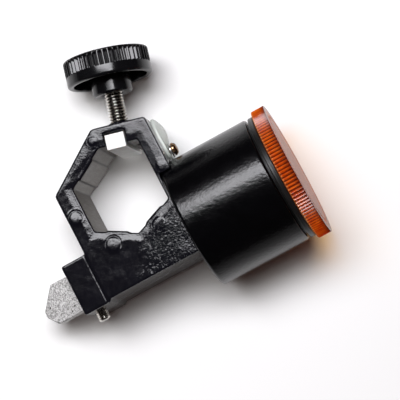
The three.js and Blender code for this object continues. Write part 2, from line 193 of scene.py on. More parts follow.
def lathe_mesh(name, profile, segments, place, closed=False, shape=None):
    """A mesh turned about its own Z. shape(angles, r, z) returns the radius at each angle of a row."""
    angles = np.linspace(0, 2 * math.pi, segments, endpoint=False)
    points, rings = [], []
    for r, z in profile:
        if r < ON_AXIS:
            rings.append([len(points)] * segments)
            points.append((0, 0, z))
            continue
        radii = np.full(segments, r) if shape is None else shape(angles, r, z) + np.zeros(segments)
        rings.append(list(range(len(points), len(points) + segments)))
        points.extend(zip(radii * np.cos(angles), radii * np.sin(angles), [z] * segments))
    faces = []
    pairs = list(zip(rings, rings[1:]))
    if closed:
        pairs.append((rings[-1], rings[0]))
    for lower, upper in pairs:
        for j in range(segments):
            k = (j + 1) % segments
            corners = [lower[j], lower[k], upper[k], upper[j]]
            face = [c for n, c in enumerate(corners) if c != corners[n - 1]]
            if len(face) > 2:
                faces.append(face)
    mesh = bpy.data.meshes.new(name)
    mesh.from_pydata(points, [], faces)
    mesh.transform(Matrix.Scale(MM, 4) @ place)
    return mesh


def eased(x):
    """0 below 0, 1 above 1, and a smooth step between."""
    x = np.clip(x, 0, 1)
    return x * x * (3 - 2 * x)


def ramp(values, start, width):
    """0 up to the start, 1 from start + width on, and a smooth step between."""
    return eased((values - start) / width)


def thread(major, depth, pitch, low, high, fade=0.6):
    """A lathe shape: a right-hand thread in the rows that have the major radius, fading out at its ends."""
    root_flat, flank = 0.1, 0.72

    def shape(angles, r, z):
        if abs(r - major) > SAME_WALL or not low <= z <= high:
            return np.full(len(angles), r)
        phase = (z / pitch - angles / (2 * math.pi)) % 1
        tooth = np.clip((1 - np.abs(2 * phase - 1) - root_flat) / flank, 0, 1)
        edge = float(eased(min(z - low, high - z) / fade))
        return r - depth * (1 - tooth) * edge
    return shape


def ribs(radius, count, depth, crest, low, high, fade):
    """A lathe shape: upright ribs round the rows that have the given radius.

    crest is the flat share of a rib. Its flanks are halfway between straight and smoothly curved.
    """
    def shape(angles, r, z):
        if abs(r - radius) > SAME_WALL or not low <= z <= high:
            return np.full(len(angles), r)
        across = np.abs((angles * count / (2 * math.pi)) % 1 - 0.5) * 2
        edge = float(eased(min(z - low, high - z) / fade))
        flank = np.clip((across - crest) / (1 - crest), 0, 1)
        return r - depth * (flank + eased(flank)) / 2 * edge
    return shape


def hexagon(radius):
    """A lathe shape: rows with the given corner radius become a hexagon."""
    def shape(angles, r, z):
        if abs(r - radius) > SAME_WALL:
            return np.full(len(angles), r)
        turn = (angles % (math.pi / 3)) - math.pi / 6
        return radius * math.cos(math.pi / 6) / np.cos(turn)
    return shape


def both(first, second):
    """A lathe shape: the second one wherever the first changes nothing."""
    def shape(angles, r, z):
        once = first(angles, r, z)
        return once if np.any(np.abs(once - r) > UNCHANGED) else second(angles, r, z)
    return shape


def evaluated(mesh, modifiers):
    """The mesh after a list of (type, settings) modifiers."""
    carrier = placed("carrier", mesh)
    for kind, settings in modifiers:
        modifier = carrier.modifiers.new(kind, kind)
        for key, value in settings.items():
            setattr(modifier, key, value)
    graph = bpy.context.evaluated_depsgraph_get()
    made = bpy.data.meshes.new_from_object(carrier.evaluated_get(graph), depsgraph=graph)
    bpy.data.objects.remove(carrier)
    return made


def vertex_rows(mesh, field):
    flat = np.zeros(len(mesh.vertices) * 3)
    mesh.vertices.foreach_get(field, flat)
    return flat.reshape(-1, 3)


def points_of(mesh):
    return vertex_rows(mesh, "co")


def normals_of(mesh):
    return vertex_rows(mesh, "normal")


def wobble(points, size, seed=0.0):
    """Smooth noise from -1 to 1 at each point, with features of about the given size."""
    offset = Vector((seed, seed * 1.7, -seed))
    return np.array([noise.noise(Vector(p) / size + offset) for p in points])


def softened(node, name, voxel, smoothing, keep, deform=None):
    """A CAD node's shape remeshed with soft, rounded edges, in millimetres. deform then moves its points."""
    mesh = NODES[node].data.copy()
    mesh.name = name
    mesh.transform(Matrix.Scale(1 / MM, 4))
    steps = [
        ("REMESH", {"mode": "VOXEL", "voxel_size": voxel}),
        ("SMOOTH", {"factor": 0.5, "iterations": smoothing}),
    ]
    mesh = evaluated(mesh, steps)
    if deform:
        points = deform(points_of(mesh), normals_of(mesh))
        mesh.vertices.foreach_set("co", points.ravel())
        mesh.update()
    mesh = evaluated(mesh, [("DECIMATE", {"ratio": keep})])
    mesh.name = name
    return mesh


def paint_value(mesh, name, values):
    """Stores a number at each point, which a material reads as an attribute."""
    layer = mesh.attributes.new(name, "FLOAT", "POINT")
    layer.data.foreach_set("value", np.asarray(values, np.float32))


def own_points(mesh, place):
    """The points of a finished mesh in a place's own axes, in millimetres."""
    turned = np.array(place.inverted())
    return points_of(mesh) / MM @ turned[:3, :3].T + turned[:3, 3]


def paint_roots(mesh, place, radius, depth):
    """Marks how deep each point lies in a thread or between ribs: 0 on the crests, 1 at the roots."""
    own = own_points(mesh, place)
    share = (radius - np.hypot(own[:, 0], own[:, 1])) / depth
    deepest = 1.15  # what lies further in belongs to another wall
    paint_value(mesh, "root", np.where(share < deepest, np.clip(share, 0, 1), 0))


# ---------------- material helpers

class Finish:
    """A procedural material: a Principled shader and the nodes that vary it."""

    def __init__(self, name, **fixed):
        self.material = bpy.data.materials.new(name)
        self.material.use_nodes = True
        self.tree = self.material.node_tree
        self.shader = self.tree.nodes["Principled BSDF"]
        self.output = self.tree.nodes["Material Output"]
        self.place = self.add("TexCoord").outputs["Object"]
        for key, value in fixed.items():
            self.set(key.replace("_", " "), value)

    def set(self, socket, value):
        names = {name.lower(): name for name in self.shader.inputs.keys()}
        self.plug(self.shader.inputs[names[socket.lower()]], value)

    def plug(self, socket, value):
        if isinstance(value, bpy.types.NodeSocket):
            self.tree.links.new(value, socket)
        else:
            socket.default_value = value

    def add(self, kind, inputs=None, **settings):
        made = self.tree.nodes.new("ShaderNode" + kind)
        for key, value in settings.items():
            setattr(made, key, value)
        for key, value in (inputs or {}).items():
            self.plug(made.inputs[key], value)
        return made

    def stretched(self, x, y, z):
        return self.add("Mapping", {"Vector": self.place, "Scale": (x, y, z)}).outputs[0]

    def noise(self, size_mm, detail=3, rough=0.55, at=None, distortion=0.0):
        """Noise with features of about size_mm."""
        inputs = {"Vector": at or self.place, "Scale": 1 / (size_mm * MM), "Detail": detail,
                  "Roughness": rough, "Distortion": distortion}
        return self.add("TexNoise", inputs).outputs["Fac"]

    def cells(self, size_mm):
        """The distance to the nearest of scattered points, about size_mm apart."""
        inputs = {"Vector": self.place, "Scale": 1 / (size_mm * MM)}
        return self.add("TexVoronoi", inputs).outputs["Distance"]

    def span(self, value, low, high, to_low=0.0, to_high=1.0):
        """The value moved from one range to another, and clamped to it."""
        inputs = {"Value": value, "From Min": low, "From Max": high, "To Min": to_low, "To Max": to_high}
        return self.add("MapRange", inputs).outputs["Result"]

    def math(self, operation, first, second):
        return self.add("Math", {0: first, 1: second}, operation=operation).outputs[0]

    def mixed(self, share, first, second):
        """A colour between two colours."""
        inputs = {0: share, 6: first, 7: second}
        return self.add("Mix", inputs, data_type="RGBA").outputs[2]

    def attribute(self, name):
        return self.add("Attribute", attribute_name=name).outputs["Fac"]

    def edges(self, low, high):
        """1 on sharp outer edges, 0 elsewhere."""
        return self.span(self.add("NewGeometry").outputs["Pointiness"], low, high)

    def bump(self, height, depth_mm):
        inputs = {"Height": height, "Distance": depth_mm * MM, "Strength": 1.0}
        return self.add("Bump", inputs).outputs["Normal"]

    def lets_light_through(self, colour):
        """Lamps shine through the piece and take on its colour."""
        clear = self.add("BsdfTransparent", {"Color": colour})
        shadow = self.add("LightPath").outputs["Is Shadow Ray"]
        inputs = {0: shadow, 1: self.shader.outputs[0], 2: clear.outputs[0]}
        blend = self.add("MixShader", inputs)
        self.tree.links.new(blend.outputs[0], self.output.inputs["Surface"])


def rgb(red, green, blue):
    return (red, green, blue, 1.0)


# ---------------- materials

def painted_casting():
    """Gloss black paint, rough where "grain" is and finely pitted where "fine" is.

    It is bare metal where "bare" is, and that metal is darkened with painted shade along the bore's corners
    and the edges of its strips.
    """
    f = Finish("cast_black_paint")
    bare = f.attribute("bare")
    grain = f.attribute("grain")
    cloud = f.noise(6, 2)
    paint = f.mixed(cloud, rgb(0.0022, 0.0021, 0.0036), rgb(0.0055, 0.0053, 0.0085))
    scuffs = f.math("MULTIPLY", f.edges(0.54, 0.66), f.span(f.noise(0.9, 4), 0.45, 0.62))
    paint = f.mixed(f.math("MULTIPLY", scuffs, 0.35), paint, rgb(0.16, 0.155, 0.16))
    strokes = f.noise(0.5, 4, 0.6, f.stretched(1, 0.08, 1))
    metal = f.mixed(strokes, rgb(0.075, 0.062, 0.052), rgb(0.15, 0.13, 0.112))
    stains = f.span(f.noise(3.2, 4), 0.5, 0.72)
    metal = f.mixed(f.math("MULTIPLY", stains, 0.5), metal, rgb(0.06, 0.048, 0.038))
    # painted shade: the bare metal darkens along the bore's corners and strip edges
    metal = f.mixed(f.attribute("darkening"), metal, rgb(0.012, 0.009, 0.007))
    f.set("base color", f.mixed(bare, paint, metal))
    f.set("metallic", f.math("MULTIPLY", bare, 0.35))
    gloss = f.span(f.noise(1.6, 3), 0.3, 0.7, 0.09, 0.16)
    dull = f.span(strokes, 0.3, 0.7, 0.42, 0.6)
    rough = f.add("Mix", {0: bare, 2: gloss, 3: dull}).outputs[0]
    f.set("roughness", rough)
    pimples = f.span(f.noise(1.1, 2, 0.6), 0.54, 0.76, 0.0, 1.3)
    peel = f.math("ADD", pimples, f.math("MULTIPLY", f.span(f.cells(0.95), 0.05, 0.5, 1.0, 0.0), 0.15))
    height = f.math("MULTIPLY", peel, grain)
    fine = f.math("MULTIPLY", f.noise(0.5, 2), f.attribute("fine"))
    height = f.math("ADD", height, f.math("ADD", fine, f.math("MULTIPLY", f.noise(3.6, 1), 0.3)))
    f.set("normal", f.bump(height, 0.2))
    return f.material


def white_nylon():
    f = Finish("white_nylon", subsurface_weight=0.25, subsurface_radius=(0.0012, 0.001, 0.0009),
               subsurface_scale=1.0)
    tint = f.span(f.noise(4, 3), 0.35, 0.65)
    f.set("base color", f.mixed(tint, rgb(0.86, 0.86, 0.84), rgb(0.93, 0.93, 0.92)))
    f.set("roughness", f.span(f.noise(0.8, 3), 0.3, 0.7, 0.36, 0.5))
    f.set("normal", f.bump(f.noise(0.35, 3), 0.012))
    return f.material


def bright_metal(name, light, dark, rough, mark_mm, stretch=(1, 1, 1)):
    """Plated or ground metal with fine marks, a little staining, and a darker brown in its thread roots
    ("root").
    """
    f = Finish(name, metallic=1.0)
    marks = f.noise(mark_mm, 4, 0.6, f.stretched(*stretch))
    stains = f.span(f.noise(1.8, 4), 0.4, 0.75)
    darkening = f.span(f.attribute("root"), 0.4, 0.8)
    f.set("base color", f.mixed(darkening, f.mixed(stains, light, dark), rgb(0.022, 0.013, 0.008)))
    f.set("roughness", f.span(marks, 0.3, 0.7, rough * 0.75, rough * 1.3))
    f.set("normal", f.bump(marks, 0.008))
    return f.material


def knob_plastic():
    f = Finish("black_knob_plastic", ior=1.55)
    f.set("base color", f.mixed(f.noise(5, 3), rgb(0.002, 0.002, 0.0025), rgb(0.005, 0.005, 0.006)))
    smears = f.span(f.noise(2.4, 5, 0.6), 0.45, 0.75)
    f.set("roughness", f.span(smears, 0, 1, 0.15, 0.21))
    f.set("normal", f.bump(f.noise(0.7, 2), 0.008))
    return f.material


def pot_plastic():
    """Gloss black with a fine moulded grain."""
    f = Finish("black_pot", ior=1.5)
    f.set("base color", f.mixed(f.noise(7, 3), rgb(0.0004, 0.0004, 0.0007), rgb(0.0012, 0.0012, 0.0018)))
    smears = f.span(f.noise(3.5, 5, 0.6), 0.4, 0.8)
    f.set("roughness", f.span(smears, 0, 1, 0.17, 0.24))
    f.set("normal", f.bump(f.noise(1.0, 3, 0.6), 0.08))
    return f.material


def amber_plastic():
    """Translucent amber, darker in the serrations ("root"), with painted shade up the rim and a painted
    highlight along its lower edge ("rise"), and satin on top ("top"), where it is also painted greyer as a
    painted reflection of the table.
    """
    f = Finish("amber_plastic", ior=1.5, transmission_weight=0.35)
    cloud = f.span(f.noise(3.2, 3), 0.3, 0.7)
    amber = f.mixed(cloud, rgb(0.46, 0.04, 0.002), rgb(0.75, 0.15, 0.007))
    rise = f.attribute("rise")
    # painted shade: the rim darkens towards its outer edge
    amber = f.mixed(f.span(rise, 0.62, 0.97), amber, rgb(0.16, 0.022, 0.004))
    # painted highlight: a pale line along the rim's lower edge
    amber = f.mixed(f.span(rise, 0.12, 0.02), amber, rgb(0.75, 0.3, 0.09))
    amber = f.mixed(f.span(f.attribute("root"), 0.2, 0.9), amber, rgb(0.1, 0.012, 0.003))
    top = f.attribute("top")
    # painted reflection: the top face is greyer, like the table reflected at a grazing angle; its added
    # roughness is a real satin finish
    f.set("base color", f.mixed(f.math("MULTIPLY", top, 0.3), amber, rgb(0.12, 0.06, 0.03)))
    gloss = f.span(f.noise(1.2, 3), 0.3, 0.7, 0.12, 0.22)
    f.set("roughness", f.math("ADD", gloss, f.math("MULTIPLY", top, 0.14)))
    f.set("normal", f.bump(f.noise(0.45, 2), 0.012))
    f.lets_light_through(rgb(0.98, 0.86, 0.68))
    return f.material


def clear_acrylic():
    f = Finish("clear_acrylic", ior=1.49, transmission_weight=0.5)
    cloud = f.span(f.noise(3, 3), 0.3, 0.7)
    f.set("base color", f.mixed(cloud, rgb(0.76, 0.79, 0.76), rgb(0.84, 0.87, 0.84)))
    f.set("roughness", f.span(f.noise(0.9, 4), 0.4, 0.75, 0.05, 0.14))
    f.set("normal", f.bump(f.noise(2.2, 1), 0.01))
    f.lets_light_through(rgb(0.86, 0.9, 0.87))
    return f.material


def rubber():
    f = Finish("black_rubber", specular_ior_level=0.35)
    f.set("base color", f.mixed(f.noise(1.5, 4), rgb(0.005, 0.005, 0.005), rgb(0.013, 0.012, 0.012)))
    f.set("roughness", f.span(f.noise(0.6, 4), 0.3, 0.7, 0.26, 0.4))
    f.set("normal", f.bump(f.noise(0.25, 3), 0.02))
    return f.material


def sintered():
    """Pressed and sintered steel: a satin grey full of small dark pores."""
    f = Finish("sintered_steel", metallic=0.6)
    speckle = f.noise(0.42, 4, 0.8)
    pores = f.math("MAXIMUM", f.span(f.cells(0.8), 0.1, 0.3), f.span(f.noise(1.6, 2), 0.5, 0.58))
    base = f.mixed(f.span(speckle, 0.4, 0.6), rgb(0.16, 0.155, 0.15), rgb(0.62, 0.61, 0.6))
    base = f.mixed(pores, rgb(0.07, 0.066, 0.063), base)
    f.set("base color", f.mixed(f.edges(0.53, 0.57), base, rgb(0.05, 0.045, 0.04)))
    f.set("roughness", f.span(speckle, 0.3, 0.7, 0.3, 0.5))
    height = f.math("ADD", f.math("MULTIPLY", speckle, 0.6), f.math("MULTIPLY", pores, 0.5))
    f.set("normal", f.bump(height, 0.06))
    return f.material


def felt():
    f = Finish("wool_felt", sheen_weight=0.5, sheen_roughness=0.5)
    fibres = f.noise(0.22, 5, 0.75, distortion=1.5)
    tint = f.mixed(fibres, rgb(0.42, 0.38, 0.28), rgb(0.74, 0.69, 0.56))
    oil = f.span(f.noise(6, 3), 0.5, 0.7)
    f.set("base color", f.mixed(f.math("MULTIPLY", oil, 0.6), tint, rgb(0.2, 0.14, 0.06)))
    f.set("roughness", f.span(fibres, 0, 1, 0.75, 1.0))
    f.set("normal", f.bump(fibres, 0.12))
    return f.material


def cotton():
    f = Finish("cotton_wick", sheen_weight=0.4, sheen_roughness=0.5)
    yarn = f.noise(0.12, 5, 0.7, f.stretched(1, 1, 0.3))
    f.set("base color", f.mixed(yarn, rgb(0.5, 0.44, 0.33), rgb(0.85, 0.8, 0.69)))
    f.set("roughness", f.span(yarn, 0, 1, 0.8, 1.0))
    f.set("normal", f.bump(yarn, 0.05))
    return f.material


def fibre():
    f = Finish("fibre_washer")
    grain = f.noise(0.3, 5, 0.7)
    f.set("base color", f.mixed(grain, rgb(0.2, 0.045, 0.02), rgb(0.4, 0.12, 0.06)))
    f.set("roughness", f.span(grain, 0, 1, 0.65, 0.9))
    f.set("normal", f.bump(grain, 0.03))
    return f.material


# ---------------- camera, stage and light

# The view of the photograph: the cutter lies on its rear side and the lens looks down on it.
CAMERA_PLACE = Vector((0.11633, -0.67935, 0.09207))
CAMERA_RIGHT = Vector((0.46048, 0.16221, 0.87272))
CAMERA_AHEAD = Vector((-0.14964, 0.98328, -0.10380))
CAMERA_LENS = 192.86


def make_camera():
    data = bpy.data.cameras.new("camera")
    data.sensor_width = 36
    data.lens = CAMERA_LENS
    data.clip_start = 0.01
    data.clip_end = 50
    camera = placed("camera", data)
    ahead = CAMERA_AHEAD.normalized()
    right = (CAMERA_RIGHT - ahead * CAMERA_RIGHT.dot(ahead)).normalized()
    up = right.cross(ahead)
    turned = Matrix((right, up, -ahead)).transposed().to_4x4()
    camera.matrix_world = Matrix.Translation(CAMERA_PLACE) @ turned
    bpy.context.scene.camera = camera
    return right, up, -ahead


RIGHT, UP, BACK = make_camera()
TABLE_NORMAL = Vector((0.074, -1, 0.122)).normalized()
TABLE_POINT = Vector((0, 0.01545, 0))  # the cap's rim, the knob's rim and the block rest on the table

WORLD_FILL = rgb(0.034, 0.017, 0.012)
WORLD_GLOSS = rgb(0.02, 0.017, 0.016)
BACKDROP = rgb(0.93, 0.93, 0.93)


def make_table():
    """The pale table that the cutter lies on.

    It shows only from its upper side, and lamps shine through it from behind. In reflections it is darker far
    from the cutter, and seen directly it fades there into the colour of the backdrop.
    """
    half = 2.2
    near, far_away = (0.07, 0.13), (0.12, 0.26)  # spans of distance from the origin, in metres
    across = TABLE_NORMAL.cross(Vector((0, 0, 1))).normalized()
    upward = TABLE_NORMAL.cross(across)
    mesh = bpy.data.meshes.new("table")
    corners = [(-1, -1), (1, -1), (1, 1), (-1, 1)]
    points = [TABLE_POINT + across * half * u + upward * half * v for u, v in corners]
    mesh.from_pydata(points, [], [(0, 1, 2, 3)])
    if mesh.polygons[0].normal.dot(TABLE_NORMAL) < 0:
        mesh.flip_normals()
    table = placed("table", mesh)
    f = Finish("table_top", roughness=0.9, specular_ior_level=0.1)
    pale = f.mixed(f.noise(60, 2), rgb(0.93, 0.93, 0.935), rgb(0.95, 0.95, 0.95))
    mirrored = f.add("LightPath").outputs["Is Glossy Ray"]
    distance = f.add("VectorMath", {0: f.place}, operation="LENGTH").outputs["Value"]
    darker = f.span(distance, *near, 0.2, 0.7)
    f.set("base color", f.mixed(f.math("MULTIPLY", mirrored, darker), pale, rgb(0, 0, 0)))
    behind = f.add("NewGeometry").outputs["Backfacing"]
    passes = f.math("MAXIMUM", behind, f.add("LightPath").outputs["Is Shadow Ray"])
    nothing = f.add("BsdfTransparent")
    blend = f.add("MixShader", {0: passes, 1: f.shader.outputs[0], 2: nothing.outputs[0]})
    backdrop = f.add("Emission", {"Color": BACKDROP})
    seen = f.math("MULTIPLY", f.add("LightPath").outputs["Is Camera Ray"], f.span(distance, *far_away))
    far = f.math("MULTIPLY", seen, f.math("SUBTRACT", 1.0, behind))
    whole = f.add("MixShader", {0: far, 1: blend.outputs[0], 2: backdrop.outputs[0]})
    f.tree.links.new(whole.outputs[0], f.output.inputs["Surface"])
    mesh.materials.append(f.material)


def make_world():
    """Pale where the camera sees it, dark in reflections, and a dim warm grey where it lights the cutter."""
    world = bpy.data.worlds.new("studio")
    bpy.context.scene.world = world
    world.use_nodes = True
    tree = world.node_tree
    tree.nodes.clear()
    output = tree.nodes.new("ShaderNodeOutputWorld")
    path = tree.nodes.new("ShaderNodeLightPath")
    last = None
    shades = [(None, WORLD_FILL), ("Is Glossy Ray", WORLD_GLOSS), ("Is Camera Ray", BACKDROP)]
    for ray, colour in shades:
        shade = tree.nodes.new("ShaderNodeBackground")
        shade.inputs["Color"].default_value = colour
        shade.inputs["Strength"].default_value = 1.0
        if last is None:
            last = shade
            continue
        mix = tree.nodes.new("ShaderNodeMixShader")
        tree.links.new(path.outputs[ray], mix.inputs[0])
        tree.links.new(last.outputs[0], mix.inputs[1])
        tree.links.new(shade.outputs[0], mix.inputs[2])
        last = mix
    tree.links.new(last.outputs[0], output.inputs["Surface"])


LIGHT_TARGET = (Vector(CAD_BOX[0]) + Vector(CAD_BOX[1])) / 2


def soft_light(name, direction, distance, size, watts, colour, mirrored=True):
    """A rectangular soft box in the given direction from the cutter, turned towards it, in metres.

    A light that isn't mirrored doesn't show in reflections.
    """
    data = bpy.data.lights.new(name, "AREA")
    data.shape = "RECTANGLE"
    data.size, data.size_y = size
    data.energy = watts
    data.color = colour
    lamp = placed(name, data)
    toward = direction.normalized()
    side = RIGHT - toward * RIGHT.dot(toward)
    side.normalize()
    turned = Matrix((side, toward.cross(side), toward)).transposed().to_4x4()
    lamp.matrix_world = Matrix.Translation(LIGHT_TARGET + toward * distance) @ turned
    lamp.visible_glossy = mirrored


make_table()
make_world()
bpy.context.scene.view_settings.view_transform = "Standard"
soft_light("key_light", BACK * 0.92 - RIGHT * 0.2 + UP * 0.4, distance=0.75, size=(0.56, 0.26),
           watts=4.6, colour=(0.96, 0.96, 1.0))
soft_light("table_light", BACK * 0.93 - RIGHT * 0.3 + UP * 0.22, distance=0.75, size=(0.52, 0.36),
           watts=3.35, colour=(1.0, 0.99, 0.98), mirrored=False)
soft_light("rear_light_left", -BACK * 0.9 - RIGHT * 0.4 + UP * 0.3, distance=0.9, size=(0.4, 0.9),
           watts=3.6, colour=(1, 1, 1))
soft_light("rear_light_right", -BACK * 0.9 + RIGHT * 0.5 - UP * 0.2, distance=0.9, size=(0.4, 0.9),
           watts=2.6, colour=(1, 1, 1))


# ---------------- carriage casting

# The sides of the rail bore: the angle of each side's outward direction in the XZ plane, and its distance
# from the bore's middle.
BORE_SIDES = [(-90, 12.8), (-30, 12.95), (20.7, 13.5), (90, 12.95), (164.9, 15), (210, 13.1)]
STRIP_EDGES = (0.0, 0.26, 0.78, 1.0)  # painted shade darkens these lines, as shares of a side's length
# The round marks of the casting tool's ejector pins on the front: x, z and radius.
EJECTOR_MARKS = [(-18.4, -0.1, 1.8), (0.8, -16.2, 2.4), (13.9, -9.3, 2.6), (15.2, 6.7, 2.4), (-1, 15.8, 2)]
LEANING_MARKS = -5  # the marks lower than this are sunk more on one side
BLOCK_TOP = -19.2  # where the socket block meets the frame


def side_distances(points):
    """How far each point is beyond the line of each side of the bore."""
    return np.array([points[:, 0] * math.cos(math.radians(a)) + points[:, 2] * math.sin(math.radians(a)) - d
                     for a, d in BORE_SIDES])


def bore_distance(points):
    """How far each point is outside the bore's outline, negative inside it."""
    return np.max(side_distances(points), axis=0)


def side_end(first, second):
    """The corner where two sides of the bore meet, as (x, z)."""
    (a, d), (b, e) = ((math.radians(angle), far) for angle, far in (first, second))
    across = math.sin(b - a)
    return (d * math.sin(b) - e * math.sin(a)) / across, (e * math.cos(a) - d * math.cos(b)) / across


def bore_shade_lines(points):
    """Painted shade along the corners of the bore and the edges of its raised strips."""
    nearest = np.argmax(side_distances(points), axis=0)
    line_width = 0.3
    darkening = np.zeros(len(points))
    for i, side in enumerate(BORE_SIDES):
        before, after = BORE_SIDES[i - 1], BORE_SIDES[(i + 1) % len(BORE_SIDES)]
        start, end = Vector(side_end(before, side)), Vector(side_end(side, after))
        along = (end - start).normalized()
        share = (points[:, 0] - start.x) * along.x + (points[:, 2] - start.y) * along.y
        for edge in STRIP_EDGES:
            line = np.exp(-((share - edge * (end - start).length) / line_width) ** 2)
            darkening = np.where(nearest == i, np.maximum(darkening, line), darkening)
    return darkening


def roll_edges(points, out, front):
    """Rolls the bore's edges back at the front and rear faces, over a width that varies along them."""
    depth, fade = 0.3, 1.2
    width = 2.4 + 0.8 * wobble(points, 2.4)
    roll = np.clip((width - out) / width, 0, 1)
    near_face = ramp(np.abs(points[:, 1]), front - fade, fade)
    not_beyond = np.where(out > -0.8, 1, 0)
    points[:, 1] -= np.sign(points[:, 1]) * depth * roll * near_face * not_beyond


def press_ejector_marks(points, front):
    """Each mark is a low dome, lower than the face round it."""
    dome, step, lean, lean_x, lean_z = 0.12, 0.05, 0.05, 0.875, 0.48
    on_front = points[:, 1] < -front + 0.9
    for x, z, radius in EJECTOR_MARKS:
        right, up = points[:, 0] - x, points[:, 2] - z
        away = np.hypot(right, up) / radius
        tilt = lean * (radius - lean_x * right + lean_z * up) if z < LEANING_MARKS else step
        sunk = dome * np.minimum(away, 1) ** 2 + np.maximum(tilt, 0)
        points[:, 1] += on_front * sunk * (1 - ramp(away, 0.95, 0.2))


def groove(distance, half_width):
    """1 in the middle of a groove, 0 beyond its half width."""
    return np.clip(1 - np.abs(distance) / half_width, 0, 1)


def casting_shape(points, normals):
    """Rolled edges, ejector marks, a parting line, a joint over the socket block, and soft lumps."""
    seam_depth, joint_depth, skin, block_side = 0.3, 0.22, 0.05, 12.5
    out = bore_distance(points)
    front = -BODY_LOW.y - 0.3  # where the rolled edges start from
    roll_edges(points, out, front)
    press_ejector_marks(points, front)
    seam = groove(points[:, 1], 0.3)
    outer = (out > 1.5) * (np.abs(normals[:, 1]) < 0.3)
    points -= normals * (seam_depth * seam * outer)[:, None]
    joint = groove(points[:, 2] - BLOCK_TOP + 0.35, 0.4)
    points -= normals * (joint_depth * joint * (points[:, 0] > block_side))[:, None]
    lumps = wobble(points, 5.0, 3.0) * skin
    points -= normals * (skin - lumps)[:, None] * (out > 0.6)[:, None]
    return points


def grain_map(points, out):
    """How strongly the paint is grained: rough beside the pot, finer on the clamp side, smooth elsewhere."""
    x, z = points[:, 0], points[:, 2]
    near_pot = ramp(z, -4, 11) * ramp(x, 3, 6)
    edge = ramp(x, 23, 5) * ramp(z, -9, 8)
    left = ramp(-x, 7, 5) * ramp(z, -16, 6)
    grain = 0.03 + 0.95 * np.maximum(near_pot, 0.35 * edge) + 0.04 * left
    arm = ramp(z, 11, 3) * ramp(-x, -6, 5)
    smooth = np.maximum(arm * 0.85, 0.85 * (1 - ramp(out, 2.1, 0.8)))
    return grain * (1 - smooth)


def make_casting():
    mesh = softened("carriage_body", "casting", voxel=0.26, smoothing=12, keep=0.4, deform=casting_shape)
    points, normals = points_of(mesh), normals_of(mesh)
    out = bore_distance(points)
    wall = 1 - ramp(np.abs(normals[:, 1]), 0.3, 0.3)
    arch_shade_x, arch_shade_y, arch_shade_z, arch_shade_radius = -9.8, -12, 11.4, 3.4  # black paint kept here is painted shade: the dark arch of the bore's wall by the lens, at the front
    from_arch_shade = np.hypot(points[:, 0] - arch_shade_x, points[:, 2] - arch_shade_z) + np.maximum(0, points[:, 1] - arch_shade_y)
    in_bore = (out > -0.9) * (1 - ramp(out, 0.35, 0.25))
    # bare metal in the bore, but black over the arch by the lens, where the black is painted shade
    paint_value(mesh, "bare", wall * in_bore * (from_arch_shade > arch_shade_radius))
    # painted shade along the bore's corners and the edges of its strips
    paint_value(mesh, "darkening", bore_shade_lines(points) * 0.85)
    paint_value(mesh, "grain", grain_map(points, out))
    limbs = np.maximum(ramp(points[:, 2], 6, 6), ramp(-points[:, 0], 13, 3))
    rolled = 1 - ramp(out, 2.2, 1.2)
    paint_value(mesh, "fine", 0.03 + 0.25 * limbs + 0.22 * rolled)
    mesh.transform(Matrix.Scale(MM, 4))
    finish_mesh("casting", mesh, "carriage", painted_casting(), ["carriage_body"], 0)


# ---------------- clamp

def make_pad():
    mesh = softened("pressure_pad", "rail_pad", voxel=0.14, smoothing=4, keep=0.3)
    mesh.transform(Matrix.Scale(MM, 4))
    finish_mesh("rail_pad", mesh, "pad", white_nylon(), ["pressure_pad"], 0)


def make_clamp_screw():
    tip, end = reach("clamp_screw", CLAMP)
    major, tip_radius, shoulder = 3.0, 2.0, 18.9
    depth, pitch, rows_per_turn = 0.6, 1.0, 14
    profile = filleted([(0, tip), (tip_radius, tip, 0.35), (tip_radius, shoulder, 0.15),
                        (major - 0.4, shoulder, 0.1), (major, shoulder + 0.4)])
    profile += rows(major, shoulder + 0.5, end - 0.5, pitch / rows_per_turn)
    profile += [(major - 0.4, end), (0, end)]
    shape = thread(major, depth, pitch, shoulder + 0.4, end - 0.45)
    mesh = lathe_mesh("clamp_stud", profile, 56, CLAMP, shape=shape)
    paint_roots(mesh, CLAMP, major, depth)
    metal = bright_metal("nickel_screw", rgb(0.9, 0.87, 0.82), rgb(0.6, 0.55, 0.48), rough=0.2, mark_mm=0.3)
    finish_mesh("clamp_stud", mesh, "knob", metal, ["clamp_screw"], 50)
    return metal


def make_knob():
    low, high = reach("clamp_knob", CLAMP)
    radius, hub, bore = 14.1, 6.6, 3.3
    band_top, rib_end, rim_low, web = high - 0.5, high - 5.9, high - 9.3, high - 4.7
    blind = high - 3.6
    rib_count, points_per_rib, fade = 50, 16, 0.3
    profile = filleted([
        (0, blind), (bore, blind, 0.3), (bore, low + 0.9, 0.2), (bore + 0.9, low + 0.25, 0.3),
        (hub - 0.5, low, 0.3), (hub, low + 0.5, 0.5), (hub, web, 0.9), (radius - 2.2, web, 0.6),
        (radius - 2.0, rim_low + 0.1, 0.4), (radius, rim_low, 1.9), (radius, rib_end - 0.05)], 6)
    band = rows(radius, rib_end, rib_end + fade, 0.1) + rows(radius, rib_end, band_top - 1.1, 0.5)
    profile += [(radius, z) for z in sorted({round(z, 5) for _, z in band})]
    profile += filleted([
        (radius, band_top - 1), (radius, band_top - 0.16, 0.95), (radius - 1.4, high - 0.3, 0.5),
        (radius - 3.0, high - 0.2, 0.2), (radius - 3.4, high - 0.75, 0.3), (radius - 5.0, high - 0.75, 0.3),
        (radius - 5.6, high - 0.15, 0.4), (0, high)], 5)
    shape = ribs(radius, rib_count, 0.68, crest=0.12, low=rib_end, high=band_top - 0.75, fade=fade)
    mesh = lathe_mesh("knob", profile, rib_count * points_per_rib, CLAMP, shape=shape)
    finish_mesh("knob", mesh, "knob", knob_plastic(), ["clamp_knob"], 30)


# ---------------- oil pot and cap

CAP_PITCH, CAP_THREAD, CAP_ROWS = 1.8, 0.35, 0.13  # the thread between pot and cap, and the step of its rows


